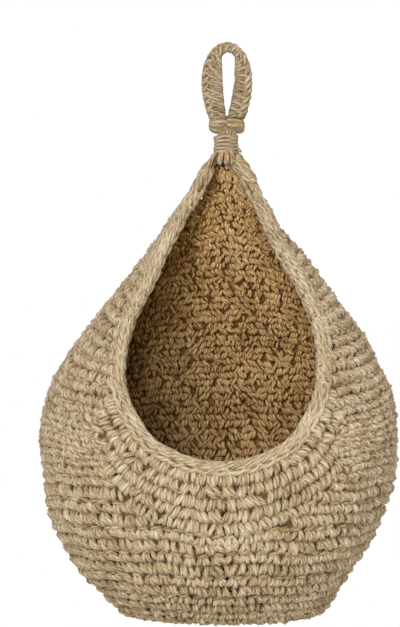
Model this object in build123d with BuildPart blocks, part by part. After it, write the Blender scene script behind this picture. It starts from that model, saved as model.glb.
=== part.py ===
"""Hanging fruit basket: a crocheted jute bag with a teardrop mouth, hung by a covered loop.

The frame has +Z up and the mouth toward -Y. The origin is the eye of the hanging loop,
where the cord of the loop bears on whatever carries the basket.
"""

import math
import os

from build123d import *

os.makedirs("parts", exist_ok=True)

# Hanging loop, measured from the crown of its eye.
loop_crown = 10.7
loop_half_width = 23.9
loop_depth = 13.0
loop_belly_drop = 24.0
loop_edge_round = 4.6
loop_heel_half_width = 17.4
eye_radius = 6.6
eye_toe_radius = 1.6
eye_height = 50.0
core_radius = 2.8
core_bend_radius = 12.4
core_clearance = 0.2

# Feet of the loop: the last stitches of each leg, rounded so that they roll on the neck.
foot_height = 7.5
foot_half_gap = 0.2
foot_end_round = 3.0
foot_half_width = 15.4
foot_drop = 59.0

# Neck: a bundle of yarn ends under a tight winding.
neck_clearance = 0.4
neck_height = 18.4
neck_core_radius = 8.9
winding_turns = 5
winding_cord_radius = 1.3
winding_gap = 0.5
winding_seat = 0.15
winding_sides = 6
turn_clearance = 0.3

# Bag.
bag_height = 422.0
bag_half_width = 164.5
front_depth = 129.0
back_depth = 96.0
wall_thickness = 9.0
rim_width = 13.0
rim_extra = 1.5
mouth_half_width = 82.3
mouth_height = 268.0
mouth_apex_drop = 6.0
cut_overrun = 30.0

# Levels that the pieces share.
foot_axis_level = -foot_drop - foot_height
foot_radius = loop_depth / 2
neck_top = foot_axis_level - foot_radius - neck_clearance
neck_bottom = neck_top - neck_height
bag_top = neck_bottom - turn_clearance

# Drop below the bag's top as a share of its height, then the half-width, the front depth
# and the back depth as shares of their largest values.
crown_shares = ((0.000, 0.076, 0.094, 0.136), (0.016, 0.104, 0.120, 0.152), (0.048, 0.156, 0.180, 0.190))
hood_upper_shares = (
    crown_shares[-1],
    (0.100, 0.228, 0.268, 0.262),
    (0.162, 0.342, 0.368, 0.350),
    (0.225, 0.458, 0.468, 0.440),
)
hood_middle_shares = (
    hood_upper_shares[-1],
    (0.289, 0.585, 0.572, 0.540),
    (0.354, 0.712, 0.674, 0.645),
    (0.417, 0.826, 0.765, 0.740),
)
hood_lower_shares = (
    hood_middle_shares[-1],
    (0.484, 0.924, 0.852, 0.830),
    (0.552, 0.979, 0.926, 0.905),
    (0.618, 1.000, 0.978, 0.960),
    (0.680, 0.992, 1.000, 0.992),
    (0.732, 0.970, 1.000, 1.000),
)
bowl_upper_shares = (
    hood_lower_shares[-1],
    (0.790, 0.932, 0.975, 0.988),
    (0.844, 0.872, 0.925, 0.950),
    (0.892, 0.796, 0.850, 0.890),
)
bowl_lower_shares = (
    bowl_upper_shares[-1],
    (0.930, 0.712, 0.766, 0.820),
    (0.958, 0.634, 0.686, 0.752),
    (0.976, 0.568, 0.616, 0.694),
)
base_shares = (bowl_lower_shares[-1], (0.991, 0.492, 0.540, 0.620), (1.000, 0.400, 0.440, 0.520))
rim_shares = hood_upper_shares + hood_middle_shares[1:] + hood_lower_shares[1:]

# One side of the mouth, from its lip up to its apex: the height above the lip as a share
# of the mouth's height, and the half-width as a share of the largest.
mouth_shares = (
    (0.010, 0.270),
    (0.036, 0.490),
    (0.072, 0.680),
    (0.122, 0.810),
    (0.186, 0.920),
    (0.262, 0.990),
    (0.350, 0.990),
    (0.434, 0.930),
    (0.526, 0.800),
    (0.618, 0.656),
    (0.770, 0.376),
    (0.870, 0.215),
    (0.960, 0.085),
)
mouth_lip_level = bag_top - mouth_apex_drop - mouth_height


def bag_level(shares: tuple) -> float:
    """Gives the level of one outline of the bag."""
    return bag_top - bag_height * shares[0]


def bag_section(shares: tuple, inset: float) -> Sketch:
    """Draws one level outline of the bag, drawn in by inset on every side."""
    _, width_share, front_share, back_share = shares
    half_width = bag_half_width * width_share - inset
    front = front_depth * front_share - inset
    back = back_depth * back_share - inset
    with BuildSketch(Plane.XY.offset(bag_level(shares))) as section:
        with BuildLine():
            for start in (180, 270):
                EllipticalCenterArc((0, 0), half_width, front, start, arc_size=90)
            for start in (0, 90):
                EllipticalCenterArc((0, 0), half_width, back, start, arc_size=90)
        make_face()
    return section.sketch


def bag_sections(table: tuple, inset: float) -> list:
    """Draws each outline in a table on its own level."""
    return [bag_section(shares, inset) for shares in table]


def mouth_outline(margin: float) -> Sketch:
    """Draws the mouth as it is seen from the front, widened by margin on every side."""
    side = [
        Vector(mouth_half_width * width_share, mouth_lip_level + mouth_height * height_share)
        for height_share, width_share in mouth_shares
    ]
    lip = Vector(0, mouth_lip_level)
    before = [lip] + side[:-1]
    after = side[1:] + side[-1:]
    right = []
    for point, last, following in zip(side, before, after):
        along = (following - last).normalized()
        right.append(point + Vector(along.Y, -along.X) * margin)
    left = [Vector(-point.X, point.Y) for point in reversed(right)]
    with BuildSketch(Plane.XZ) as outline:
        with BuildLine():
            Spline(*left, lip - Vector(0, margin), *right)
            Line(right[-1], left[0])
        make_face()
    return outline.sketch


def save(piece: BuildPart, name: str) -> None:
    """Labels a piece and writes it."""
    piece.part.label = name
    export_step(piece.part, f"parts/{name}.step")


# The core of the loop: one cord that goes up one leg, round the eye and down the other.
core_bend_level = loop_crown / 2 - core_bend_radius
with BuildPart() as loop_core:
    with BuildLine(Plane.XZ) as core_path:
        up = Line((-core_bend_radius, foot_axis_level), (-core_bend_radius, core_bend_level))
        bend = CenterArc((0, core_bend_level), core_bend_radius, 180, -180)
        Line(bend @ 1, (core_bend_radius, foot_axis_level))
    with BuildSketch(Plane(origin=up @ 0, z_dir=up % 0)):
        Circle(core_radius)
    sweep()
save(loop_core, "loop_core")

# The cover of the loop: a flattened tube round the core, with the drop-shaped eye.
with BuildPart() as loop_cover:
    with BuildSketch(Plane.XZ.offset(-loop_depth / 2)):
        with BuildLine():
            crown = EllipticalCenterArc(
                (0, -loop_belly_drop), loop_half_width, loop_belly_drop + loop_crown, 0, arc_size=180
            )
            left_side = TangentArc(crown @ 1, (-loop_heel_half_width, -foot_drop), tangent=crown % 1)
            right_side = TangentArc(
                crown @ 0, (loop_heel_half_width, -foot_drop), tangent=(crown % 0) * -1
            )
            Line(left_side @ 1, right_side @ 1)
        make_face()
        with BuildSketch(mode=Mode.SUBTRACT):
            with Locations((0, -eye_radius)):
                Circle(eye_radius)
            with Locations((0, eye_toe_radius - eye_height)):
                Circle(eye_toe_radius)
            make_hull()
    extrude(amount=loop_depth)
    fillet(
        loop_cover.edges().filter_by_position(Axis.Z, -foot_drop, loop_crown, (False, True))
        .filter_by(lambda edge: edge.bounding_box().size.Y < core_clearance),
        loop_edge_round,
    )
    with BuildLine(Plane.XZ) as bore_path:
        rise = Line((-core_bend_radius, -foot_drop), (-core_bend_radius, core_bend_level))
        turn = CenterArc((0, core_bend_level), core_bend_radius, 180, -180)
        Line(turn @ 1, (core_bend_radius, -foot_drop))
    with BuildSketch(Plane(origin=rise @ 0, z_dir=rise % 0)):
        Circle(core_radius + core_clearance)
    sweep(mode=Mode.SUBTRACT)
save(loop_cover, "loop_cover")


# The last stitches of each leg, with the bore for its end of the core.
for foot_side, foot_name in ((-1, "loop_foot_left"), (1, "loop_foot_right")):
    with BuildPart() as loop_foot:
        with BuildSketch(Plane.YZ.offset(foot_side * foot_half_gap)):
            with Locations((0, foot_axis_level)):
                Circle(foot_radius)
            with Locations((0, -foot_drop)):
                Rectangle(loop_depth, foot_height, align=(Align.CENTER, Align.MAX))
        extrude(amount=foot_side * (foot_half_width - foot_half_gap))
        outer_end = loop_foot.faces().sort_by(Axis.X)[-1 if foot_side > 0 else 0]
        fillet(outer_end.edges().group_by(Axis.Z)[:-1], foot_end_round)
        with BuildSketch(Plane.XY.offset(-foot_drop)):
            with Locations((foot_side * core_bend_radius, 0)):
                Circle(core_radius + core_clearance)
        extrude(amount=-foot_height - core_clearance, mode=Mode.SUBTRACT)
    save(loop_foot, foot_name)

# The neck's bundle of yarn ends, with a pocket for each end of the winding.
winding_radius = neck_core_radius + winding_cord_radius + winding_seat
winding_pitch = 2 * winding_cord_radius + winding_gap
winding_height = winding_turns * winding_pitch
winding_start = neck_top - (neck_height - winding_height) / 2
tuck_radius = 2 * winding_cord_radius
quarter = math.pi / 2


def winding_point(turn: float) -> Vector:
    """Gives a point on the centre line of the winding, turn turns from its start."""
    angle = 2 * math.pi * turn
    level = winding_start - winding_pitch * turn
    return Vector(winding_radius * math.cos(angle), winding_radius * math.sin(angle), level)


def winding_tangent(turn: float) -> Vector:
    """Gives the direction of the winding's centre line."""
    angle = 2 * math.pi * turn
    slope = winding_pitch / (2 * math.pi)
    along = Vector(-winding_radius * math.sin(angle), winding_radius * math.cos(angle), -slope)
    return along.normalized()


def biarc(start: Vector, start_way: Vector, end: Vector, end_way: Vector) -> list:
    """Draws two arcs that leave start and reach end in the ways given."""
    chord = end - start
    ways = start_way + end_way
    bend = 2 * (1 - start_way.dot(end_way))
    reach = (math.sqrt(chord.dot(ways) ** 2 + bend * chord.dot(chord)) - chord.dot(ways)) / bend
    near = start + start_way * reach
    far = end - end_way * reach
    joint = (near + far) / 2
    first = TangentArc(start, joint, tangent=start_way)
    second = TangentArc(joint, end, tangent=far - near)
    return [first, second]


def tuck(turn: float, sense: int) -> tuple:
    """Gives the points of the end that turns from the winding into the bundle."""
    point = winding_point(turn)
    way = winding_tangent(turn) * sense
    inward = Vector(-point.X, -point.Y, 0).normalized()
    bent = point + (way + inward) * tuck_radius
    tip = bent + inward * 2 * winding_cord_radius
    return point, way, bent, tip


def tuck_line(turn: float, sense: int) -> None:
    """Draws the end of the winding that is tucked into the bundle."""
    point, way, bent, tip = tuck(turn, sense)
    if sense < 0:
        inner = Line(tip, bent)
        TangentArc(inner @ 1, point, tangent=inner % 1)
    else:
        arc = TangentArc(point, bent, tangent=way)
        Line(arc @ 1, tip)


with BuildPart() as neck_winding:
    with BuildLine() as winding_path:
        tuck_line(0, -1)
        for step in range(4 * winding_turns):
            here, there = step / 4, (step + 1) / 4
            biarc(winding_point(here), winding_tangent(here), winding_point(there), winding_tangent(there))
        tuck_line(winding_turns, 1)
    winding_wire = winding_path.wires()[0]
    with BuildSketch(Plane(origin=winding_wire @ 0, z_dir=winding_wire % 0)):
        RegularPolygon(winding_cord_radius, winding_sides)
    sweep(path=winding_wire)
save(neck_winding, "neck_winding")

with BuildPart() as neck_core:
    with BuildSketch(Plane.XY.offset(neck_top)):
        Circle(neck_core_radius)
    extrude(amount=-neck_height)
    for tuck_turn, tuck_sense in ((0, -1), (winding_turns, 1)):
        with BuildLine() as pocket_path:
            tuck_line(tuck_turn, tuck_sense)
        pocket_wire = pocket_path.wires()[0]
        with BuildSketch(Plane(origin=pocket_wire @ 0, z_dir=pocket_wire % 0)):
            Circle(winding_cord_radius + core_clearance)
        sweep(path=pocket_wire, mode=Mode.SUBTRACT)
save(neck_core, "neck_core")

# The winding's gap to itself, measured between turns on points along its centre line.
samples_per_turn = 72
samples = [winding_point(i / samples_per_turn) for i in range(samples_per_turn * winding_turns + 1)]
nearest = min(
    (first - second).length
    for i, first in enumerate(samples)
    for second in samples[i + samples_per_turn // 2:]
)
print("neck_winding least gap to itself", round(nearest - 2 * winding_cord_radius, 3), "mm")

# The crown of the bag, where every course is gathered under the neck.
with BuildPart() as hood_crown:
    loft(bag_sections(crown_shares, 0), ruled=True)
save(hood_crown, "hood_crown")

# The hood: rows worked to and fro from one side of the mouth, round the back, to the other.
# The bowl under it: closed rounds.
for band_name, band_table in (
    ("hood_upper", hood_upper_shares),
    ("hood_middle", hood_middle_shares),
    ("hood_lower", hood_lower_shares),
    ("bowl_upper", bowl_upper_shares),
    ("bowl_lower", bowl_lower_shares),
):
    with BuildPart() as band:
        loft(bag_sections(band_table, 0), ruled=True)
        loft(bag_sections(band_table, wall_thickness), ruled=True, mode=Mode.SUBTRACT)
        if band_name.startswith("hood"):
            extrude(mouth_outline(rim_width), amount=front_depth + cut_overrun, mode=Mode.SUBTRACT)
    save(band, band_name)

# The base disc, where the work begins, flat inside and under.
with BuildPart() as base_disc:
    loft(bag_sections(base_shares, 0), ruled=True)
save(base_disc, "base_disc")

# The braided edging of the mouth, thicker than the wall that carries it.
with BuildPart() as rim_edging:
    loft(bag_sections(rim_shares, -rim_extra), ruled=True)
    loft(bag_sections(rim_shares, wall_thickness + rim_extra), ruled=True, mode=Mode.SUBTRACT)
    extrude(mouth_outline(rim_width), amount=front_depth + cut_overrun, mode=Mode.INTERSECT)
    extrude(mouth_outline(0), amount=front_depth + cut_overrun, mode=Mode.SUBTRACT)
save(rim_edging, "rim_edging")
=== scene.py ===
"""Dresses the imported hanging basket: every stitch of the crocheted jute is a strand of plied yarn.

Sizes are in millimetres, as in the part's source, and become metres where a mesh is made. The
frame is the part's: +Z up, the mouth toward -Y, the origin at the eye of the hanging loop.
"""

import logging
import math
from collections.abc import Callable
from dataclasses import dataclass, field
from enum import Enum

import bpy
import numpy as np
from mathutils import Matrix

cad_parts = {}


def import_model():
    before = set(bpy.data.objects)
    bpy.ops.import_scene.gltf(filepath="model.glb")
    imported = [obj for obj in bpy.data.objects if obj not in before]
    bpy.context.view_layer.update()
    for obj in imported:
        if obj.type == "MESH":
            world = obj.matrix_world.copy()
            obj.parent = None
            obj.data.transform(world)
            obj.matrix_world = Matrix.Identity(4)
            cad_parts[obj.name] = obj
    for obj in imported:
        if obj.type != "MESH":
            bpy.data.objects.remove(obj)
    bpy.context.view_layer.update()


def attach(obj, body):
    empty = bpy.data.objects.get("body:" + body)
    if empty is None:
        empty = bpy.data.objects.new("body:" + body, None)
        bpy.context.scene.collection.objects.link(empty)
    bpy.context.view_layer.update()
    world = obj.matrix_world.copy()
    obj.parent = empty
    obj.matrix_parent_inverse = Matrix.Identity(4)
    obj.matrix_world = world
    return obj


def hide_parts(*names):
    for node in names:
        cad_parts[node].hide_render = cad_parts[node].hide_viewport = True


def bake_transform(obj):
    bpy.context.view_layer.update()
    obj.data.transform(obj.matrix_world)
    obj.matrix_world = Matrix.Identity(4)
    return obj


Array = np.ndarray
Colour = Point = tuple[float, float, float]
Places = tuple[Array, Array]
Lines = Callable[[Array, Array], Places]
Socket = bpy.types.NodeSocket
# Where a change starts, and the run over which it is complete.
Ramp = tuple[float, float]

MM = 0.001
FULL_TURN = 2 * math.pi
# Strands are drawn in hundredths, hundredths and tenths.
UNITS = (100, 100, 10)
# How far along its yarn a strand may start, in millimetres.
LONGEST_START = 500
LOG = logging.getLogger("basket")


class Face(Enum):
    """The two faces of the bag's wall."""

    OUTER = "outer"
    INNER = "inner"


class Stitch(Enum):
    """The kinds of stitch, each a few strands: the yarn's size, then its points' across, up and out.

    The size is a percentage of the yarn's. Across and up are hundredths of the stitch's width
    and height, and out is in tenths of a millimetre from the outer face of the wall.
    """

    LEGS = (
        (100, (34, 26, 12, 10, 16), (-10, 14, 46, 80, 104), (-54, -22, -7, -19, -52)),
        (98, (48, 50, 58, 48, 38), (-10, 14, 46, 80, 104), (-54, -22, -5, -19, -52)),
        (94, (67, 74, 90, 94, 84), (-8, 14, 42, 74, 100), (-54, -22, -7, -20, -52)),
    )
    BAR = (
        (84, (14, 22, 40, 60, 78, 88), (66, 84, 93, 93, 84, 66), (-54, -20, -2, -2, -20, -54)),
        (96, (-10, 0, 16, 30, 36), (-10, 12, 40, 66, 86), (-54, -22, -8, -22, -54)),
        (92, (42, 46, 52, 56, 62), (-10, 12, 38, 62, 82), (-54, -22, -6, -22, -54)),
        (92, (98, 92, 84, 76, 66), (-8, 14, 42, 66, 86), (-54, -22, -8, -22, -54)),
    )
    POST = (
        (106, (6, 12, 22, 32, 38), (-6, 16, 50, 84, 106), (-56, -25, -8, -25, -56)),
        (102, (44, 46, 56, 66, 74), (-6, 16, 50, 84, 106), (-56, -25, -6, -25, -56)),
        (86, (82, 82, 88, 96, 102), (-4, 18, 50, 82, 104), (-56, -26, -12, -27, -56)),
    )
    PUFF = (
        (108, (4, 10, 26, 44, 50), (2, 22, 54, 84, 102), (-56, -24, -4, -22, -56)),
        (104, (40, 48, 62, 76, 82), (-8, 12, 42, 72, 92), (-56, -26, -5, -20, -56)),
        (84, (98, 94, 86, 90, 100), (2, 20, 50, 80, 100), (-56, -26, -12, -24, -56)),
        (66, (30, 22, 6, -10, -18), (0, 6, 10, 6, 0), (-56, -30, -18, -30, -56)),
    )
    FAN_RIGHT = (
        (100, (20, 25, 36, 46, 52), (-16, 8, 46, 86, 114), (-58, -22, -5, -22, -58)),
        (96, (40, 48, 63, 76, 84), (-20, 4, 46, 88, 116), (-58, -22, -5, -22, -58)),
        (90, (58, 70, 93, 106, 112), (-10, 12, 52, 88, 112), (-58, -24, -9, -24, -58)),
    )
    FAN_LEFT = (
        (100, (52, 46, 32, 20, 16), (-16, 10, 50, 88, 108), (-58, -22, -5, -22, -58)),
        (96, (84, 78, 64, 50, 44), (-14, 12, 52, 90, 112), (-58, -22, -6, -22, -58)),
        (92, (116, 110, 95, 82, 76), (-18, 8, 50, 86, 110), (-58, -24, -8, -24, -58)),
    )

    def strands(self, steps: int) -> list[tuple[float, Array]]:
        """Gives each strand's size, and its smooth path as shares and millimetres."""
        return [(size / 100, smooth_line(np.array(path).T / UNITS, steps)) for size, *path in self.value]


class NodeGraph:
    """Adds and links the nodes of one material or world."""

    def __init__(self, tree: bpy.types.NodeTree) -> None:
        """Keeps the tree that the nodes go into."""
        self.tree = tree

    def feed(self, socket: Socket, value: object) -> None:
        """Links a socket to another, or sets its value."""
        if isinstance(value, Socket):
            self.tree.links.new(value, socket)
        else:
            socket.default_value = value

    def add(self, kind: str, **settings: object) -> bpy.types.Node:
        """Adds a node.

        Args:
            kind: Blender's name for the node.
            settings: Its properties in small letters, and its inputs by name.

        Returns:
            The node.
        """
        node = self.tree.nodes.new(kind)
        for name, value in settings.items():
            if name[0].islower():
                setattr(node, name, value)
            else:
                self.feed(node.inputs[name], value)
        return node

    def math(self, operation: str, *values: object) -> Socket:
        """Adds a Math node, and gives its output."""
        node = self.add("ShaderNodeMath", operation=operation)
        for socket, value in zip(node.inputs, values):
            self.feed(socket, value)
        return node.outputs[0]

    def bump(self, shader: bpy.types.Node, height: Socket, strength: float, relief: float) -> None:
        """Raises a shader's surface by a height, up to a relief in millimetres."""
        bump = self.add("ShaderNodeBump", Height=height, Strength=strength, Distance=relief * MM)
        self.feed(shader.inputs["Normal"], bump.outputs["Normal"])


@dataclass(frozen=True)
class Finish:
    """What every finish has: its name, its material slot, and its palest and darkest colours."""

    name: str
    slot: str
    light: Colour
    dark: Colour

    def material(self) -> bpy.types.Material:
        """Makes the material, or gives the one made before."""
        material = bpy.data.materials.get(self.name)
        if material is None:
            material = bpy.data.materials.new(self.name)
            material.use_nodes = True
            graph = NodeGraph(material.node_tree)
            self.paint(graph, graph.tree.nodes["Principled BSDF"])
        return material

    def ramp(self, graph: NodeGraph, share: Socket, low: float, high: float) -> bpy.types.Node:
        """Adds a ramp from the dark colour at one share to the light one at another."""
        ramp = graph.add("ShaderNodeValToRGB", Fac=share)
        ends = ramp.color_ramp.elements
        ends[0].position, ends[0].color = low, (*self.dark, 1.0)
        ends[1].position, ends[1].color = high, (*self.light, 1.0)
        return ramp

    def paint(self, graph: NodeGraph, shader: bpy.types.Node) -> None:
        """Adds the nodes of the finish to its shader."""
        raise NotImplementedError


@dataclass(frozen=True)
class JuteFinish(Finish):
    """Plied jute: pale and dark fibres that follow the plies, with painted shade in the hollows between
    plies.
    """

    middle: Colour
    plies: int = 5
    relief: float = 0.9
    gloss: float = 0.12

    def paint(self, graph: NodeGraph, shader: bpy.types.Node) -> None:
        """Adds fibres and plies along the yarn, with painted shade in the grooves between plies and from the
        tone attribute, and slow changes of tone and hue.
        """
        for name, value in (("Roughness", 0.88), ("Sheen Roughness", 0.5)):
            graph.feed(shader.inputs[name], value)
        graph.feed(shader.inputs["Specular IOR Level"], self.gloss)
        graph.feed(shader.inputs["Sheen Weight"], self.gloss / 2)
        yarn = graph.add("ShaderNodeUVMap", uv_map="Yarn").outputs["UV"]
        split = graph.add("ShaderNodeSeparateXYZ", Vector=yarn).outputs
        ply = graph.math("COSINE", graph.math("MULTIPLY", split["Y"], FULL_TURN * self.plies))
        along, turned = graph.math("MULTIPLY", split["X"], 1.6), graph.math("MULTIPLY", split["Y"], 26.0)
        stretch = graph.add("ShaderNodeCombineXYZ", X=along, Y=turned).outputs[0]
        fibre = graph.add("ShaderNodeTexNoise", Vector=stretch, Scale=1.0, Detail=3.0, Roughness=0.65)
        where = graph.add("ShaderNodeTexCoord").outputs["Object"]
        blotch = graph.add("ShaderNodeTexNoise", Vector=where, Scale=38.0, Detail=2.0)
        tone = graph.add("ShaderNodeAttribute", attribute_name="tone")
        # Painted shade: the ply term darkens the grooves between plies, and the tone attribute adds the
        # strands' painted shade.
        shade = graph.math("MULTIPLY_ADD", ply, 0.11, fibre.outputs["Fac"])
        shade = graph.math("MULTIPLY_ADD", blotch.outputs["Fac"], 0.34, shade)
        shade = graph.math("ADD", shade, tone.outputs["Fac"])
        ramp = self.ramp(graph, graph.math("SUBTRACT", shade, 0.10), 0.22, 0.80)
        ramp.color_ramp.elements.new(0.50).color = (*self.middle, 1.0)
        drift = graph.add("ShaderNodeTexNoise", Vector=where, Scale=55.0, Detail=1.0)
        hue = graph.math("MULTIPLY_ADD", drift.outputs["Fac"], 0.030, 0.485)
        tinted = graph.add("ShaderNodeHueSaturation", Hue=hue, Color=ramp.outputs["Color"])
        graph.feed(shader.inputs["Base Color"], tinted.outputs["Color"])
        graph.bump(shader, graph.math("MULTIPLY_ADD", ply, 0.35, fibre.outputs["Fac"]), 0.75, self.relief)


@dataclass(frozen=True)
class BackingFinish(Finish):
    """The yarn inside the wall, seen only at the bottom of the holes between stitches, coloured dark as
    painted shade.
    """

    def paint(self, graph: NodeGraph, shader: bpy.types.Node) -> None:
        """Adds a fine grain."""
        graph.feed(shader.inputs["Roughness"], 0.95)
        where = graph.add("ShaderNodeTexCoord").outputs["Object"]
        grain = graph.add("ShaderNodeTexNoise", Vector=where, Scale=420.0, Detail=4.0).outputs["Fac"]
        graph.feed(shader.inputs["Base Color"], self.ramp(graph, grain, 0.35, 0.70).outputs["Color"])
        graph.bump(shader, grain, 0.8, 1.2)


@dataclass(frozen=True)
class Yarn:
    """One kind of yarn: its size, its plies, their turn, and how much painted shade darkens its underside."""

    radius: float
    plies: int = 5
    lay: float = 30.0
    relief: float = 0.12
    sides: int = 10
    steps: int = 10
    shade: float = 0.34
    end_size: float = 0.55


# Each finish: its name, its slot, its palest colour, its darkest, and plied jute's middle one.
WALL_JUTE = JuteFinish(
    "jute_wall_outside", "jute_wall", (0.60, 0.503, 0.374), (0.135, 0.072, 0.016), (0.357, 0.26, 0.144)
)
# The same jute as the outside, recoloured warmer and darker as painted shade and painted warm bounced light
# inside the bag.
SHADED_INNER_JUTE = JuteFinish(
    "jute_wall_inside_shaded", "jute_wall", (0.70, 0.49, 0.266), (0.105, 0.041, 0.003), (0.385, 0.227, 0.081),
    gloss=0.05,
)
EDGE_JUTE = JuteFinish(
    "jute_rim", "jute_edging", (0.61, 0.52, 0.39), (0.12, 0.068, 0.02), (0.375, 0.285, 0.17)
)
LOOP_JUTE = JuteFinish(
    "jute_handle", "jute_loop", (0.50, 0.41, 0.285), (0.08, 0.044, 0.014), (0.27, 0.202, 0.116),
    plies=4, relief=0.4,
)
CORE_JUTE = JuteFinish(
    "jute_bundle", "jute_core", (0.48, 0.365, 0.215), (0.10, 0.06, 0.024), (0.28, 0.20, 0.105), relief=0.5
)
# The cores are real yarn, coloured dark as painted shade for the holes and gaps where they show.
SHADED_BACKING = BackingFinish("jute_wall_core_shaded", "jute_core", (0.23, 0.125, 0.036), (0.105, 0.052, 0.012))
SHADED_RIM_BACKING = BackingFinish("jute_rim_core_shaded", "jute_edging", (0.22, 0.15, 0.075), (0.11, 0.068, 0.028))

WALL_YARN = Yarn(2.68)
INNER_YARN = Yarn(1.9, plies=4, lay=26.0, relief=0.08, sides=8, steps=7, shade=0.32)
RIM_YARN = Yarn(2.7, lay=40.0, relief=0.08, steps=11, shade=0.40)
HANDLE_YARN = Yarn(1.32, plies=4, lay=60.0, relief=0.05, sides=8, steps=16, shade=0.45)
CHAIN_YARN = Yarn(1.9, plies=4, relief=0.08, sides=8, steps=9, shade=0.45)
WINDING_YARN = Yarn(1.85, plies=4, lay=60.0, relief=0.06, sides=8)
BUNDLE_YARN = Yarn(2.9, lay=90.0, relief=0.06, steps=12, shade=0.14)
CORE_YARN = Yarn(2.75, lay=22.0)
TAIL_YARN = Yarn(1.3, lay=14.0)


@dataclass(frozen=True)
class Work:
    """How one face of the wall is worked.

    Its yarn, finish and stitches come first, then their size and the level that they end at,
    the share of them that is turned over, and the spread of their slant and their height.
    """

    yarn: Yarn
    finish: JuteFinish
    kinds: tuple[Stitch, Stitch]
    width: float
    height: float
    top_level: float
    flipped: float
    slant: float
    shift: float


WORK = {
    Face.OUTER: Work(WALL_YARN, WALL_JUTE, (Stitch.LEGS, Stitch.BAR), 12.4, 11.3, -112.0, 0.25, 0.17, 0.055),
    Face.INNER: Work(
        INNER_YARN, SHADED_INNER_JUTE, (Stitch.FAN_RIGHT, Stitch.FAN_LEFT), 10.2, 7.0, -99.0, 0.30, 0.12, 0.13
    ),
}


def unit(vectors: Array) -> Array:
    """Makes each vector one long."""
    return vectors / np.maximum(np.linalg.norm(vectors, axis=-1, keepdims=True), 1e-9)


def distances(points: Array) -> Array:
    """Gives how far along a line each of its points is."""
    return np.concatenate([[0], np.cumsum(np.linalg.norm(np.diff(points, axis=0), axis=1))])


def rise(value: Array | float, start: float, run: float) -> Array:
    """Gives 0 before the start of a ramp, 1 after its run, and a share of it between."""
    return np.clip((value - start) / run, 0, 1)


def between(place: Array, places: Array, values: Array) -> Array:
    """Reads a table of values, a row for each of its places, at other places."""
    return np.stack([np.interp(place, places, column) for column in values.T], axis=-1)


def smooth_line(points: Array, count: int) -> Array:
    """Draws a smooth line through points, one a row, as count points spread over its runs."""
    padded = np.vstack([2 * points[0] - points[1], points, 2 * points[-1] - points[-2]])
    place = np.linspace(0, len(points) - 1, count)
    run = np.minimum(place.astype(int), len(points) - 2)
    part = (place - run)[:, None]
    a, b, c, d = (padded[run + i] for i in range(4))
    bend, twist = 2 * a - 5 * b + 4 * c - d, 3 * b - a - 3 * c + d
    return 0.5 * (2 * b + (c - a) * part + bend * part**2 + twist * part**3)


def tube(rings: Array, turned_over: bool = False) -> Places:
    """Joins rings of points into a closed tube with flat ends.

    Args:
        rings: The points, (rings, points round each, 3).
        turned_over: Whether the rings turn the other way, so that the faces are turned over.

    Returns:
        The tube's points and its faces.
    """
    count, around = rings.shape[:2]
    index = np.arange(count * around).reshape(count, around)
    following = np.roll(index, -1, axis=1)
    sides = np.stack([index[:-1], index[1:], following[1:], following[:-1]], axis=-1).reshape(-1, 4)
    fan = np.array([(0, i, i + 1, i + 2) for i in range(1, around - 2, 2)])
    quads = np.concatenate([sides, index[0][fan], index[-1][fan[:, ::-1]]])
    return rings.reshape(-1, 3), quads[:, ::-1] if turned_over else quads


def closed_shell(outer: Array, inner: Array, quads: Array) -> Places:
    """Makes a closed shell of two like faces.

    Args:
        outer: The points of the outer face.
        inner: The points of the inner face, in the same order.
        quads: The faces that both have.

    Returns:
        The shell's points and its faces.
    """
    used, flat = np.unique(quads, return_inverse=True)
    faces = flat.reshape(quads.shape)
    count = len(used)
    edges = np.concatenate([faces[:, [i, (i + 1) % 4]] for i in range(4)])
    single: dict[tuple[int, int], None] = {}
    for a, b in edges.tolist():
        if (b, a) in single:
            del single[b, a]
        else:
            single[a, b] = None
    rim = np.array([(b, a, a + count, b + count) for a, b in single]).reshape(-1, 4)
    return np.concatenate([outer[used], inner[used]]), np.concatenate([faces, faces[:, ::-1] + count, rim])


def add_object(name: str, data: bpy.types.ID) -> bpy.types.Object:
    """Puts a mesh, a lamp or a camera into the scene."""
    thing = bpy.data.objects.new(name, data)
    bpy.context.scene.collection.objects.link(thing)
    return thing


def quad_mesh(name: str, points: Array, quads: Array) -> bpy.types.Mesh:
    """Makes a mesh of quads, in metres and shaded smooth, from points in millimetres."""
    mesh = bpy.data.meshes.new(name)
    mesh.vertices.add(len(points))
    mesh.vertices.foreach_set("co", (points * MM).astype(np.float32).ravel())
    mesh.loops.add(quads.size)
    mesh.loops.foreach_set("vertex_index", quads.astype(np.int32).ravel())
    mesh.polygons.add(len(quads))
    mesh.polygons.foreach_set("loop_start", np.arange(0, quads.size, 4, dtype=np.int32))
    mesh.polygons.foreach_set("use_smooth", np.ones(len(quads), dtype=bool))
    mesh.update(calc_edges=True)
    return mesh


def dress(name: str, mesh: bpy.types.Mesh, finish: Finish, body: str, *nodes: str) -> bpy.types.Object:
    """Puts a mesh into the scene as a piece.

    Args:
        name: The piece's name.
        mesh: Its mesh.
        finish: Its finish.
        body: The body that it rides on, or nothing.
        nodes: The CAD nodes that it stands for.

    Returns:
        The piece.
    """
    piece = add_object(name, mesh)
    mesh.materials.append(finish.material())
    if body:
        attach(piece, body)
    if nodes:
        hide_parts(*nodes)
    LOG.info("%s: %d faces on %s", name, len(mesh.polygons), body)
    return piece


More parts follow.
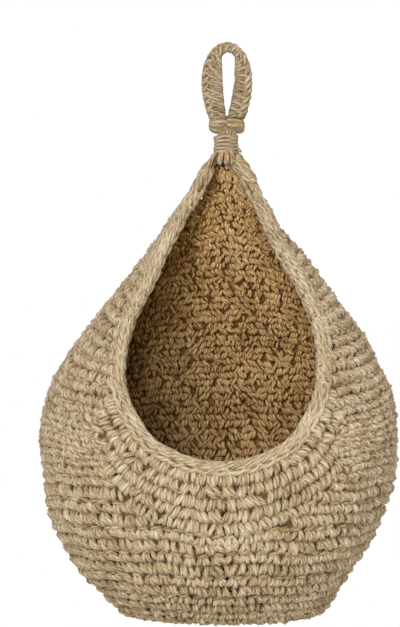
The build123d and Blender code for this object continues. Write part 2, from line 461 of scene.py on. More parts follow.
class StrandMesh:
    """Gathers strands of yarn into the mesh of one piece."""

    def __init__(self, yarn: Yarn, rng: np.random.Generator) -> None:
        """Starts an empty mesh of one yarn, with the seeded source of its small differences."""
        self.yarn = yarn
        self.rng = rng
        self.points: list[Array] = []
        self.quads: list[Array] = []
        self.places: list[Array] = []
        self.tones: list[Array] = []
        self.total = 0

    def add(self, paths: Array, outward: Array, tone: Array | float = 0.0, size: Array | float = 1.0) -> None:
        """Adds several strands with the same number of points.

        Args:
            paths: The strands' points, (strands, points, 3), in millimetres.
            outward: The way out of the surface at each point, of the same form.
            tone: How much paler each strand or point is than the finish, painted shade included; the painted
                shade of each strand's underside is added here.
            size: The yarn's radius at each strand or point, as a share of the yarn's own.
        """
        strands, steps = paths.shape[:2]
        if not strands:
            return
        yarn, sides = self.yarn, self.yarn.sides
        ahead = unit(np.gradient(paths, axis=1))
        across = unit(np.cross(ahead, outward))
        above = np.cross(across, ahead)
        length = np.linalg.norm(np.diff(paths, axis=1), axis=2)
        along = np.concatenate([np.zeros((strands, 1)), np.cumsum(length, axis=1)], axis=1)
        along += self.rng.uniform(0, LONGEST_START, (strands, 1))
        share = np.arange(sides) / sides
        turn = FULL_TURN * (share + along[:, :, None] / yarn.lay)
        radius = yarn.radius * np.broadcast_to(size, (strands, steps))[:, :, None]
        radius = radius * (1 + yarn.relief * (2 * np.abs(np.cos(math.pi * yarn.plies * share)) - 1))
        radius[:, (0, -1)] *= yarn.end_size
        sin, cos = np.sin(turn), np.cos(turn)
        ring = across[:, :, None, :] * sin[..., None] - above[:, :, None, :] * cos[..., None]
        points = paths[:, :, None, :] + ring * radius[..., None]
        index = np.arange(strands * steps * sides).reshape(strands, steps, sides) + self.total
        following = np.roll(index, -1, axis=2)
        quads = np.stack([index[:, :-1], following[:, :-1], following[:, 1:], index[:, 1:]], axis=-1)
        u = np.broadcast_to(along[:, :, None] / 10, (strands, steps, sides))
        near, far = u[:, :-1], u[:, 1:]
        low = np.broadcast_to(share, near.shape)
        high = low + 1 / sides
        corners = ((near, low), (near, high), (far, high), (far, low))
        self.points.append(points.reshape(-1, 3))
        self.quads.append(quads.reshape(-1, 4))
        self.places.append(np.stack([np.stack(corner, -1) for corner in corners], axis=-2).reshape(-1, 2))
        for end, order in ((0, -1), (steps - 1, 1)):
            for first in range(1, sides - 2, 2):
                self.quads.append(index[:, end][:, [0, first, first + 1, first + 2][::order]])
                self.places.append(np.repeat(np.stack([u[:, end, 0], low[:, 0, 0]], -1), 4, axis=0))
        # Painted shade: the underside of each strand is darkened by its yarn's shade.
        tones = np.broadcast_to(tone, (strands, steps))[:, :, None] - yarn.shade * (1 + cos) / 2
        self.tones.append(tones.reshape(-1))
        self.total += strands * steps * sides

    def piece(self, name: str, finish: JuteFinish, body: str, *nodes: str) -> bpy.types.Object:
        """Makes the piece, with the yarn's own UV layer and tones, painted shade among them, as dress does.
        """
        mesh = quad_mesh(name, np.concatenate(self.points), np.concatenate(self.quads))
        layer = mesh.uv_layers.new(name="Yarn")
        layer.uv.foreach_set("vector", np.concatenate(self.places).astype(np.float32).ravel())
        tone = mesh.attributes.new("tone", "FLOAT", "POINT")
        tone.data.foreach_set("value", np.concatenate(self.tones).astype(np.float32))
        return dress(name, mesh, finish, body, *nodes)


@dataclass
class Waves:
    """Gentle unevenness of hand work: a sum of seeded waves through space."""

    seed: int
    count: int
    shortest: float
    longest: float

    def __post_init__(self) -> None:
        """Draws the waves."""
        rng = np.random.default_rng(self.seed)
        length = rng.uniform(self.shortest, self.longest, (self.count, 1))
        self.ways = unit(rng.normal(size=(self.count, 3))) * FULL_TURN / length
        self.phases = rng.uniform(0, FULL_TURN, self.count)

    def at(self, points: Array) -> Array:
        """Gives the unevenness at points, mostly between -1 and 1."""
        return np.cos(points @ self.ways.T + self.phases).sum(axis=-1) / math.sqrt(self.count)


@dataclass
class BagForm:
    """The outer face of the bag, from the outlines of the CAD model.

    A place on it is how far it is up the wall from the middle of the base, in millimetres, and
    its angle round the bag from the middle of the front, toward +X. Each outline is in
    thousandths: the drop below the top, then the half-width and the depths to the front and
    the back. Each row of sway is a drop, and how far the left and right sides stand out there.
    """

    top: float = -92.1
    height: float = 422.0
    half_width: float = 164.5
    front: float = 129.0
    back: float = 96.0
    thickness: float = 9.0
    smoothing: float = 4.0
    lump: float = 1.1
    ease_in: float = 1.7
    wander: float = 1.5
    least_size: float = 0.4
    sway_ramp: Ramp = (0.0, 60.0)
    neck_ramp: Ramp = (-105.0, -40.0)
    base_ramp: Ramp = (-512.0, 30.0)
    outlines: tuple[tuple[int, int, int, int], ...] = (
        (1000, 400, 440, 520), (991, 492, 540, 620), (976, 568, 616, 694), (958, 634, 686, 752),
        (930, 712, 766, 820), (892, 796, 850, 890), (844, 872, 925, 950), (790, 932, 975, 988),
        (732, 970, 1000, 1000), (680, 992, 1000, 992), (618, 1000, 978, 960), (552, 979, 926, 905),
        (484, 924, 852, 830), (417, 826, 765, 740), (354, 712, 674, 645), (289, 585, 572, 540),
        (225, 458, 468, 440), (162, 342, 368, 350), (100, 228, 268, 262), (48, 156, 180, 190),
        (16, 104, 120, 152), (0, 76, 94, 136), (-6, 52, 66, 92), (-16, 50, 64, 88),
    )
    sway: tuple[tuple[float, float, float], ...] = (
        (0.00, 1.5, -2.5), (0.04, 2.0, -3.5), (0.09, 0.5, -7.0), (0.15, 0.5, -6.0),
        (0.25, 1.0, -2.8), (0.36, 2.0, -4.2), (0.42, 4.0, -4.6), (0.50, 6.5, -4.6),
        (0.56, 7.5, -8.5), (0.66, 7.0, -8.0), (0.75, 7.0, -10.0), (0.82, 8.0, -12.5),
        (0.90, 7.5, -13.5), (0.94, 6.5, -10.0), (0.975, 11.0, 1.0), (1.00, 20.0, 13.0),
    )
    bands: tuple[tuple[str, float], ...] = (
        ("hood_crown", 0.048),
        ("hood_upper", 0.225),
        ("hood_middle", 0.417),
        ("hood_lower", 0.732),
        ("bowl_upper", 0.892),
        ("bowl_lower", 0.976),
        ("base_disc", 1.100),
    )

    def __post_init__(self) -> None:
        """Works out the wall's profile, rounded between the outlines."""
        rows = np.array(self.outlines) / 1000
        level = self.top - self.height * rows[:, 0]
        table = np.column_stack([level, rows[:, 1:] * (self.half_width, self.front, self.back)])
        table = np.vstack([[level[0], 0.0, 0.0, 0.0], table])
        mean = table[:, 1] / 2 + table[:, 2:].mean(axis=1) / 2
        climb = np.concatenate([[0], np.cumsum(np.hypot(np.diff(mean), np.diff(table[:, 0])))])
        self.climb = np.arange(0, climb[-1], 0.5)
        even = between(self.climb, climb, table)
        reach = int(self.smoothing * 6)
        kernel = np.exp(-0.5 * (np.arange(-reach, reach + 1) / (self.smoothing * 2)) ** 2)
        before = 2 * even[0] - even[reach:0:-1]
        before[:, 0] = even[0, 0]
        padded = np.vstack([before, even, 2 * even[-1] - even[-2 : -reach - 2 : -1]])
        level, width, *depths = (np.convolve(column, kernel / kernel.sum(), "valid") for column in padded.T)
        drop, *sides = np.array(self.sway).T
        swing = rise(width, *self.sway_ramp)
        down = (self.top - level) / self.height
        halves = [width + swing * (np.interp(down, drop, side) - self.ease_in) for side in sides]
        self.profile = np.column_stack([level, *halves, *depths])
        self.profile[:, 1:] = np.maximum(self.profile[:, 1:], self.least_size)
        self.length = float(self.climb[-1])
        self.lumps = Waves(3, 9, 38.0, 110.0)
        self.wanders = Waves(5, 8, 45.0, 130.0)

    def point(self, climb: Array, angle: Array) -> Array:
        """Gives points on the outer face."""
        level, left, right, front, back = (np.interp(climb, self.climb, column) for column in self.profile.T)
        width = np.where(np.sin(angle) < 0, left, right)
        depth = np.where(np.cos(angle) > 0, front, back)
        return np.stack([width * np.sin(angle), -depth * np.cos(angle), level], axis=-1)

    def ways(self, climb: Array, angle: Array) -> Places:
        """Gives how a point moves for a millimetre up the wall and for a radian round it."""
        up = self.point(climb + 1.0, angle) - self.point(climb - 1.0, angle)
        round_ = self.point(climb, angle + 0.01) - self.point(climb, angle - 0.01)
        return up / 2.0, round_ / 0.02

    def outward(self, climb: Array, angle: Array) -> Array:
        """Gives the way straight out of the wall."""
        up, round_ = self.ways(climb, angle)
        return unit(np.cross(round_, up))

    def place(self, climb: Array, angle: Array, out: Array | float) -> Places:
        """Gives points that stand out from the uneven outer face, and the way straight out at each."""
        outward = self.outward(climb, angle)
        points = self.point(climb, angle)
        ease = rise(points[..., 2], *self.neck_ramp) * rise(points[..., 2], *self.base_ramp)
        out = out + self.lump * ease * self.lumps.at(points)
        return points + outward * out[..., None], outward

    def climb_at(self, level: Array | float) -> Array:
        """Gives how far up the wall a level is."""
        return np.interp(level, self.profile[:, 0], self.climb)

    def level_at(self, climb: Array | float) -> Array:
        """Gives the level of a place up the wall."""
        return np.interp(climb, self.climb, self.profile[:, 0])

    def angle_at(self, across: Array, level: Array) -> Array:
        """Gives the angle of places on the front by their x and their level."""
        left, right = (np.interp(level, self.profile[:, 0], self.profile[:, i]) for i in (1, 2))
        return np.arcsin(np.clip(across / np.where(across < 0, left, right), -0.99, 0.99))

    def band_of(self, level: float) -> str:
        """Gives the CAD node that holds a level."""
        share = (self.top - level) / self.height
        return next(name for name, low in self.bands if share <= low)


@dataclass
class Border:
    """A line on the wall round the mouth: its points, levels and angles, negative on the left."""

    points: Array
    levels: Array
    angles: Array


@dataclass
class MouthForm:
    """The mouth and the rows that follow it, measured along the wall from its edge.

    Each row of lean is a level, and how far the mouth stands to the side there. Each share is
    how far up the mouth a point of its outline is, and how far out, in thousandths.
    """

    bag: BagForm
    half_width: float = 82.3
    height: float = 268.0
    apex_drop: float = 6.0
    rim_depth: float = 11.0
    rim_width: float = 10.5
    rows: int = 6
    row_height: float = 10.6
    side_stretch: float = 0.22
    side_ramp: Ramp = (-292.0, -74.0)
    turn_limit: float = math.radians(100)
    turn_end: float = 2.4
    step: float = 2.0
    count: int = 900
    stretch_ramps: tuple[Ramp, Ramp] = ((0.0, 110.0), (250.0, -60.0))
    lean: tuple[tuple[float, float], ...] = (
        (-366.0, -6.0), (-290.0, -7.0), (-235.0, -3.8), (-200.0, -3.5),
        (-172.0, -3.0), (-144.0, -3.3), (-116.0, -1.8), (-95.0, -1.8),
    )
    shares: tuple[tuple[int, int], ...] = (
        (0, 0), (10, 270), (36, 490), (72, 680), (122, 810), (186, 920), (262, 990), (350, 990), (434, 945),
        (526, 845), (618, 700), (714, 546), (784, 432), (855, 322), (926, 205), (972, 120), (1000, 60),
    )

    def __post_init__(self) -> None:
        """Draws the edge of the mouth on the wall, and steps from it over the wall."""
        bag = self.bag
        lip = bag.top - self.apex_drop - self.height
        side = np.array(self.shares)[:, ::-1] / 1000 * (self.half_width, self.height) + (0, lip)
        line = smooth_line(np.vstack([side[:0:-1] * (-1, 1), side]), 4000)
        line[:, 0] += np.interp(line[:, 1], *np.array(self.lean).T)
        climb = bag.climb_at(line[:, 1])
        across = line[:, 0].copy()
        for _ in range(4):
            angle = bag.angle_at(across, line[:, 1])
            across = line[:, 0] + self.rim_depth * bag.outward(climb, angle)[:, 0]
        length = distances(bag.point(climb, angle))
        place = np.linspace(0, length[-1], self.count)
        climb, angle = np.interp(place, length, climb), np.interp(place, length, angle)
        self.edge = Border(bag.point(climb, angle), bag.level_at(climb), angle)
        above = self.edge.levels - lip
        low, high = (rise(above, *ramp) for ramp in self.stretch_ramps)
        stretch = 1 + self.side_stretch * low * high
        self.reach = self.rim_width + self.rows * self.row_height
        rings = [(climb, angle)]
        for i in range(int(self.reach / self.step) + 3):
            scale = np.where(i * self.step < self.rim_width, 1.0, stretch)
            climb, angle = self.outside(climb, angle, self.step * scale)
            rings.append((climb, angle))
        self.grid = np.array(rings)
        share = np.linspace(0, 1, self.count)
        climb, angle = self.at(self.rim_width + self.rows_at(share) * self.row_height, share)
        turned = np.clip(angle, -self.turn_limit, self.turn_limit)
        self.limit = Border(bag.point(climb, angle), bag.level_at(climb), turned)

    def rows_at(self, share: Array) -> Array:
        """Gives how many rows follow the mouth: all below it, fewer up its sides."""
        level = np.interp(share, np.linspace(0, 1, self.count), self.edge.levels)
        return self.rows * rise(level, *self.side_ramp)

    def outside(self, climb: Array, angle: Array, step: Array) -> Places:
        """Steps from a line on the wall, away from the mouth.

        Args:
            climb: How far up the wall the line's points are.
            angle: Their angles round the bag.
            step: How far each point goes.

        Returns:
            The places of the next line.
        """
        up, round_ = self.bag.ways(climb, angle)
        ahead = unit(np.gradient(self.bag.point(climb, angle), axis=0))
        away = unit(np.cross(ahead, unit(np.cross(round_, up)))) * step[:, None]
        uu, ur, rr = (up * up).sum(1), (up * round_).sum(1), (round_ * round_).sum(1)
        au, ar = (away * up).sum(1), (away * round_).sum(1)
        spread = np.maximum(uu * rr - ur * ur, 1e-6)
        climb = climb + (au * rr - ar * ur) / spread
        angle = angle + (ar * uu - au * ur) / spread
        kernel = np.array([1, 2, 3, 2, 1]) / 9
        for line in (climb, angle):
            line[2:-2] = np.convolve(line, kernel, "valid")
        return np.minimum(climb, self.bag.length - 3), np.clip(angle, -self.turn_end, self.turn_end)

    def at(self, away: Array, share: Array) -> Places:
        """Gives places on the wall by their distance from the mouth's edge.

        Args:
            away: The distance from the edge, in millimetres.
            share: How far along the edge, from 0 at the left end to 1 at the right.

        Returns:
            How far up the wall each place is, and its angle.
        """
        rows, columns = self.grid.shape[0], self.grid.shape[2]
        i = np.clip(np.asarray(away) / self.step, 0, rows - 1.001)
        j = np.clip(np.asarray(share) * (columns - 1), 0, columns - 1.001)
        i0, j0 = i.astype(int), j.astype(int)
        fi, fj = (i - i0)[..., None], (j - j0)[..., None]
        near, far = (self.grid[k, :, j0] * (1 - fj) + self.grid[k, :, j0 + 1] * fj for k in (i0, i0 + 1))
        mixed = near * (1 - fi) + far * fi
        return mixed[..., 0], mixed[..., 1]

    def clear_of(self, border: Border, climb: Array, angle: Array) -> Array:
        """Gives how far places on the wall are outside a line round the mouth.

        Args:
            border: The line.
            climb: How far up the wall each place is.
            angle: Its angle round the bag.

        Returns:
            The distances, less than nothing inside the line.
        """
        points = self.bag.point(climb, angle)
        batches = np.array_split(points, len(points) // 500 + 1)
        line = border.points[None, ::3]
        gap = np.concatenate([np.linalg.norm(part[:, None] - line, axis=2).min(axis=1) for part in batches])
        turned = (angle + math.pi) % FULL_TURN - math.pi
        limit = np.zeros(len(points))
        for side in (-1, 1):
            mine = border.angles * side > 0
            order = np.argsort(border.levels[mine])
            reach = np.abs(border.angles[mine])[order]
            here = np.interp(points[:, 2], border.levels[mine][order], reach, left=0.0)
            limit = np.where(turned * side > 0, here, limit)
        turned = np.abs(turned)
        side_gap = (turned - limit) * np.maximum(np.hypot(points[:, 0], points[:, 1]), 10)
        return np.where(turned > limit, np.where(limit >= self.turn_limit, side_gap, gap), -gap)


@dataclass
class BagWall:
    """The wall of the bag: rows of stitches outside and inside, over the yarn between them.

    Each gap is a small open hole in the back: its x and z in the plane y = 0, and how both
    change along y on the line of sight through it.
    """

    bag: BagForm
    mouth: MouthForm
    rng: np.random.Generator
    post_width: float = 11.8
    edge_spread: float = 0.05
    post_spread: float = 0.06
    arch: float = 66.0
    arch_ramp: Ramp = (-400.0, 150.0)
    wander_ramp: Ramp = (30.0, 60.0)
    overlap: float = 5.0
    crown_overlap: float = 8.0
    mouth_overlap: float = 0.3
    inner_edge: float = 7.0
    core_edge: float = 4.5
    core_faces: tuple[float, float] = (-3.1, -5.6)
    side_slant: float = 0.42
    slant_ramp: Ramp = (0.35, 0.3)
    # Where the painted shade toward the bottom of the bag begins, and its run.
    low_shade_ramp: Ramp = (-430.0, -70.0)
    # Where the painted shade of the inner side walls and the painted shadow on the inner left begin, and
    # their runs.
    inner_side_shade_ramp: Ramp = (0.45, 0.3)
    inner_left_shadow_ramp: Ramp = (-0.25, -0.4)
    puff: float = 0.6
    row_puff: float = 0.96
    inner_flat: float = 0.8
    slant_spread: float = 0.10
    across_spread: float = 0.035
    bow_spread: float = 0.06
    turn_spread: float = 0.24
    out_spread: float = 0.40
    tone_spread: float = 0.05
    size_spread: float = 0.09
    mouth_lift: float = 0.3
    gap_room: float = 1.5
    gap_fade: float = 6.0
    gap_radius: float = 3.5
    gaps: tuple[tuple[float, float, float, float], ...] = (
        (-23.8, -132.7, 0.000, 0.059),
        (-37.6, -161.2, -0.007, 0.043),
    )
    meshes: dict[tuple[str, str, str], StrandMesh] = field(default_factory=dict)

    def gap_offsets(self, points: Array) -> list[Array]:
        """Gives how far points are from the line through each small open gap, along x and z."""
        lines = [np.array(gap) for gap in self.gaps]
        return [points[..., (0, 2)] - gap[:2] - gap[2:] * points[..., 1:2] for gap in lines]

    def part_at_gaps(self, points: Array, radius: float) -> Array:
        """Moves strands of the back aside, by their yarn's radius, where it has a small open gap."""
        moved = points.copy()
        behind = (points[..., 1:2] > 0) * 1.0
        for offset in self.gap_offsets(points):
            away = np.linalg.norm(offset, axis=-1, keepdims=True)
            room = np.sqrt(away**2 + (radius + self.gap_room) ** 2 * np.exp(-((away / self.gap_fade) ** 2)))
            moved[..., (0, 2)] += behind * offset / np.maximum(away, 0.05) * (room - away)
        return moved

    def line(self, climb: float, angle: Array) -> Array:
        """Gives the climb of one line between rows, which arches over the back of the hood."""
        share = rise(self.bag.level_at(climb), *self.arch_ramp)
        drop = self.arch * share * share * (3 - 2 * share) * (1 + np.cos(angle)) / 2
        base = self.bag.point(np.full(np.shape(angle), climb), angle)
        return climb - drop + self.bag.wander * rise(climb, *self.wander_ramp) * self.bag.wanders.at(base)

    def row_edges(self, low: float, high: float, width: float, shift: float) -> Array:
        """Spreads the stitches of a row evenly round the bag.

        Args:
            low: The climb of the row's lower line.
            high: The climb of its upper line.
            width: The stitch width aimed at.
            shift: How far the first stitch is turned, in stitches.

        Returns:
            The angles of the edges between stitches, over a little more than a full turn.
        """
        angle = np.linspace(-FULL_TURN, 2 * FULL_TURN, 1081)
        middle = (self.line(low, angle) + self.line(high, angle)) / 2
        length = distances(self.bag.point(middle, angle))
        turn = length[-1] / 3
        count = max(6, round(turn / width))
        place = turn + (np.arange(-2, count + 3) + shift) * turn / count
        place[3:-3] += self.rng.normal(0, self.edge_spread * width, count - 1)
        return np.interp(place, length, angle)

    def square_shift(self, low: float, high: float, angle: Array) -> Array:
        """Gives how far round the bag a stitch moves over its height, to stand square on its row."""
        middle = (low + high) / 2
        _, round_ = self.bag.ways(self.line(middle, angle), angle)
        width = np.maximum(np.linalg.norm(round_, axis=-1), 8.0)
        slope = (self.line(middle, angle + 0.03) - self.line(middle, angle - 0.03)) / (0.06 * width)
        return -slope / (1 + slope**2) * (high - low) / width

    def stitch(self, kind: Stitch, lines: Lines, face: Face, keep: Array, lift: float = 0.0) -> None:
        """Works one row of one kind of stitch.

        Args:
            kind: The stitch.
            lines: Gives the climb and angle for shares across and up, for each stitch.
            face: The face of the wall that it is on.
            keep: Which of the row's stitches are worked.
            lift: How far the row stands out of the wall, where it follows the mouth.
        """
        number = np.flatnonzero(keep)
        if not len(number):
            return
        outer, work = face is Face.OUTER, WORK[face]

        def draw(spread: float, middle: float = 0.0) -> Array:
            """Draws a number for each stitch."""
            return self.rng.normal(middle, spread, (len(number), 1))

        lean = draw(self.slant_spread)
        if outer and not lift:
            _, around = lines(number + 0.5, np.full(len(number), 0.5))
            lean = lean - self.side_slant * rise(np.abs(np.sin(around)), *self.slant_ramp)[:, None]
        flip = self.rng.random((len(number), 1)) < work.flipped
        for thickness, path in kind.strands(work.yarn.steps):
            across, up, deep = path.T
            own = lean + draw(work.slant)
            u = np.where(flip, 1 - across, across) + draw(self.across_spread) + own * (up - 0.5)
            u = u + draw(self.bow_spread) * np.sin(math.pi * up)
            v = up + draw(work.shift)
            v = v + draw(self.turn_spread) * (across - across.mean())
            out = deep + draw(self.out_spread) + lift
            if outer:
                out = out - self.puff * np.cos(FULL_TURN * across) - self.row_puff * np.cos(FULL_TURN * up)
            else:
                out = -self.bag.thickness - self.inner_flat * out
            climb, angle = lines(number[:, None] + u, v)
            points, outward = self.bag.place(climb, angle, out)
            points = self.part_at_gaps(points, work.yarn.radius)
            # Random tone, with painted shade where a strand dips deep into the wall.
            tone = draw(self.tone_spread) + np.minimum(0, (deep + 1.9) * 0.12)
            if outer:
                # Painted shade: darker toward the bottom of the bag, and in bands between the rows.
                tone = tone - 0.06 * rise(points[..., 2], *self.low_shade_ramp) - 0.05 * np.cos(FULL_TURN * up)
            else:
                outward = -outward
                side = np.sin(angle)
                # Painted shade inside: darker where strands dip deep and on the side walls, with a painted
                # shadow of the left rim on the left.
                tone = tone + 0.04 + np.minimum(0, (deep + 1.2) * 0.14)
                tone = tone - 0.10 * rise(np.abs(side), *self.inner_side_shade_ramp)
                tone = tone - 0.18 * rise(side, *self.inner_left_shadow_ramp)
            self.sort_out(face, points, outward, tone, thickness * draw(self.size_spread, 1.0))

    def sort_out(self, face: Face, points: Array, outward: Array, tone: Array, size: Array) -> None:
        """Gives each strand to the piece of the band, face and half of the bag that it is on."""
        middle = points[:, points.shape[1] // 2]
        nodes = np.array([self.bag.band_of(level) for level in middle[:, 2]])
        halves = np.where(middle[:, 1] < 0, "front", "back")
        sides = np.where(middle[:, 0] < 0, "_left", "_right")
        halves = np.char.add(halves, np.where(nodes == "hood_lower", sides, ""))
        for node, half in sorted(set(zip(nodes, halves))):
            chosen = (nodes == node) & (halves == half)
            mesh = self.meshes.setdefault((node, face.value, half), StrandMesh(WORK[face].yarn, self.rng))
            mesh.add(points[chosen], outward[chosen], tone[chosen], size[chosen])

    def level_rows(self, face: Face) -> None:
        """Works the rows of one face that go round the bag, up to the crown."""
        work = WORK[face]
        outward = face is Face.OUTER
        border, least = (self.mouth.limit, -self.overlap) if outward else (self.mouth.edge, self.inner_edge)
        top = float(self.bag.climb_at(work.top_level))
        rows = round((top + self.arch) / work.height)
        levels = np.linspace(0, top + self.arch, rows + 1).tolist()
        for row, (low, high) in enumerate(zip(levels, levels[1:])):
            edges = self.row_edges(low, high, work.width, self.rng.uniform(0, 1))

            def lines(
                across: Array, up: Array, low: float = low, high: float = high, edges: Array = edges
            ) -> Places:
                """Gives the climb and angle of places in this row."""
                angle = np.interp(across + 2, np.arange(len(edges)), edges)
                angle = angle + self.square_shift(low, high, angle) * (up - 0.5)
                foot, head = self.line(low, angle), self.line(high, angle)
                return np.maximum(foot + (head - foot) * up, 0.6), angle

            count = len(edges) - 5
            climb, angle = lines(np.arange(count) + 0.5, np.full(count, 0.5))
            keep = (self.mouth.clear_of(border, climb, angle) > least) & (climb < top)
            self.stitch(work.kinds[row % 2], lines, face, keep)

    def mouth_rows(self) -> None:
        """Works the rows that follow the mouth, from the level rows up to its rim."""
        mouth = self.mouth
        kinds = (Stitch.BAR, Stitch.LEGS) + (Stitch.PUFF, Stitch.POST) * 2
        share = np.linspace(0, 1, mouth.count)
        top_level = WORK[Face.OUTER].top_level + self.crown_overlap
        for row, kind in enumerate(kinds[: mouth.rows]):
            foot = mouth.reach - row * mouth.row_height
            climb, angle = mouth.at(np.full(mouth.count, foot - mouth.row_height / 2), share)
            inside = (np.abs(angle) < mouth.turn_limit) & (self.bag.level_at(climb) < top_level)
            first, last = np.flatnonzero(inside)[[0, -1]]
            run = slice(first, last + 1)
            length = distances(self.bag.point(climb[run], angle[run]))
            count = round(length[-1] / (WORK[Face.OUTER].width if row < 2 else self.post_width))
            spread = np.linspace(0, length[-1], count + 1)
            spread[1:-1] += self.rng.normal(0, self.post_spread * self.post_width, count - 1)
            place = np.interp(spread, length, share[run])

            def lines(across: Array, up: Array, foot: float = foot, place: Array = place) -> Places:
                """Gives the climb and angle of places in this row."""
                along = np.interp(across, np.arange(len(place)), place)
                return mouth.at(foot - (up * 1.06 - 0.02) * mouth.row_height, along)

            here = np.interp(np.arange(count) + 0.5, np.arange(len(place)), place)
            keep = foot < mouth.rim_width + (mouth.rows_at(here) + self.mouth_overlap) * mouth.row_height
            self.stitch(kind, lines, Face.OUTER, keep, self.mouth_lift)

    def backing(self) -> None:
        """Makes the yarn inside the wall, a sheet between the two faces of stitches, dark with painted shade.
        """
        climb = np.arange(1.0, self.bag.length, 4.0)
        grid_angle, grid_climb = np.meshgrid(np.linspace(-math.pi, math.pi, 181), climb)
        clear = self.mouth.clear_of(self.mouth.edge, grid_climb.ravel(), grid_angle.ravel())
        outer, inner = (self.bag.place(grid_climb, grid_angle, out)[0] for out in self.core_faces)
        index = np.arange(grid_climb.size).reshape(grid_climb.shape)
        index[:, -1] = index[:, 0]
        corners = np.stack([index[:-1, :-1], index[:-1, 1:], index[1:, 1:], index[1:, :-1]], axis=-1)
        kept = (clear > self.core_edge)[corners].all(axis=-1)
        for offset in self.gap_offsets(inner):
            near = (np.linalg.norm(offset, axis=-1) < self.gap_radius) & (inner[..., 1] > 0)
            kept &= ~near.ravel()[corners].any(axis=-1)
        level = self.bag.level_at(climb)
        bands = np.array([self.bag.band_of((a + b) / 2) for a, b in zip(level, level[1:])])
        for node, _ in self.bag.bands:
            quads = corners[(bands == node)[:, None] & kept]
            if len(quads):
                shell = closed_shell(outer.reshape(-1, 3), inner.reshape(-1, 3), quads)
                name = f"{node}_wall_core"
                # The wall's core is coloured dark as painted shade.
                dress(name, quad_mesh(name, *shell), SHADED_BACKING, "bag", node)

    def build(self) -> None:
        """Makes every piece of the wall."""
        self.level_rows(Face.OUTER)
        self.mouth_rows()
        self.level_rows(Face.INNER)
        for (node, face, half), mesh in sorted(self.meshes.items()):
            mesh.piece(f"{node}_{face}_{half}", WORK[Face(face)].finish, "bag", node)
        self.backing()


@dataclass
class RimEdging:
    """The edging of the mouth: chains of stitches that run along it, over a filling.

    Each chain is how far its middle is from the mouth's edge and outside the wall, which way
    it faces in degrees (0 out, 90 into the mouth, 180 in), and how far its two strands are
    from its middle. The link is one strand of a stitch: along, aside and out, in UNITS.
    """

    bag: BagForm
    mouth: MouthForm
    rng: np.random.Generator
    link_length: float = 13.5
    top_level: float = -88.5
    chains: tuple[tuple[float, float, float, float], ...] = (
        (7.5, -0.9, 0.0, 2.35),
        (2.9, -1.9, 45.0, 2.0),
        (2.4, -6.0, 110.0, 2.2),
        (7.0, -7.9, 180.0, 3.3),
    )
    link: tuple[Point, ...] = (
        (-18, 5, -34), (6, 50, -12), (40, 100, 1), (76, 100, 5), (106, 55, 2), (128, 12, -16),
    )
    filling: tuple[tuple[float, float], ...] = ((3.4, -2.0), (3.4, -7.2), (11.5, -7.6), (11.5, -2.2))

    def build(self) -> None:
        """Makes the chains and the filling."""
        mesh = StrandMesh(RIM_YARN, self.rng)
        for chain in self.chains:
            self.add_chain(mesh, *chain)
        mesh.piece("rim_chains", EDGE_JUTE, "bag", "rim_edging")
        share = np.linspace(0.001, 0.999, 700)
        rings = np.stack([self.along(away, out, share)[0] for away, out in self.filling], axis=1)
        points, quads = tube(rings[rings[:, 0, 2] < self.top_level])
        # The filling is coloured dark as painted shade under the rim's chains.
        dress("rim_filling", quad_mesh("rim_filling", points, quads), SHADED_RIM_BACKING, "bag", "rim_edging")

    def along(self, away: float, out: float, share: Array) -> Places:
        """Gives a line along the rim, away from the mouth's edge and out of the wall, and its ways out."""
        return self.bag.place(*self.mouth.at(np.full(share.shape, away), share), np.full(share.shape, out))

    def add_chain(self, mesh: StrandMesh, away: float, out: float, facing: float, half_width: float) -> None:
        """Adds one chain of the rim, as the class says, to a mesh."""
        points, outward = self.along(away, out, np.linspace(0, 1, 1800))
        aside = unit(np.cross(unit(np.gradient(points, axis=0)), outward))
        turn = math.radians(facing)
        face = outward * math.cos(turn) - aside * math.sin(turn)
        below = points[:, 2] < self.top_level
        points, face = points[below], face[below]
        length = distances(points)
        count = int(length[-1] / self.link_length)
        link = length[-1] / count
        offset = self.rng.uniform(0, 0.8)
        path = smooth_line(np.array(self.link) / UNITS, RIM_YARN.steps)
        for side in (-1, 1):
            along = (np.arange(count)[:, None] + path[None, :, 0] + offset) * link
            along = np.clip(along, 0.5, length[-1] - 0.5)
            base = between(along, length, points)
            up = unit(between(along, length, face))
            over = np.cross(unit(np.gradient(base, axis=1)), up)
            jitter = self.rng.normal(0, 0.18, (count, 1, 1))
            base = base + over * (side * half_width * path[None, :, 1, None] + jitter)
            base = base + up * (path[None, :, 2, None] + self.rng.normal(0, 0.2, (count, 1, 1)))
            # Random tone, with painted shade where a link dips into the rim.
            tone = self.rng.normal(0, 0.03, (count, 1)) + np.minimum(0, path[None, :, 2] + 0.6) * 0.05
            mesh.add(base, up, tone, self.rng.normal(1, 0.04, (count, 1)))


